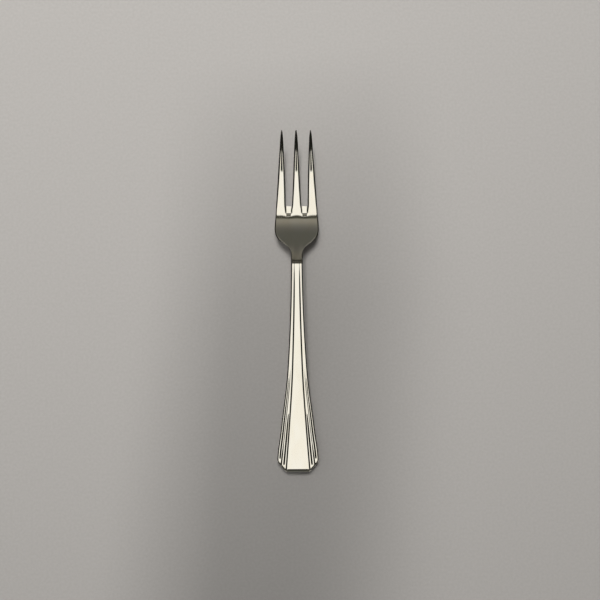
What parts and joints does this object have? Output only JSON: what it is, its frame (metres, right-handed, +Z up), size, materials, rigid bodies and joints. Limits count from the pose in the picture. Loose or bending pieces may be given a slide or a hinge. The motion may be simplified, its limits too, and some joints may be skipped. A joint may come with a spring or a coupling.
{
  "type": "fish fork",
  "caption": "Fish fork with slim tapered tines, ogee shoulders and a flared filled handle that has a raised panel, stepped fluted bands and clipped corners.",
  "frame": {"origin": "middle of the fork's box at its base, on the surface that the fork rests on", "axes": "+X across the fork, +Y from the handle's end towards the tines, +Z up out of the front face"},
  "size_m": [0.0242, 0.1862, 0.0139],
  "materials": {
    "polished_silver": "polished",
    "core_cement": "matte"
  },
  "bodies": {
    "root": {"fork_head": "polished_silver", "handle_front": "polished_silver", "handle_back": "polished_silver", "handle_filler": "core_cement"}
  },
  "joints": []
}
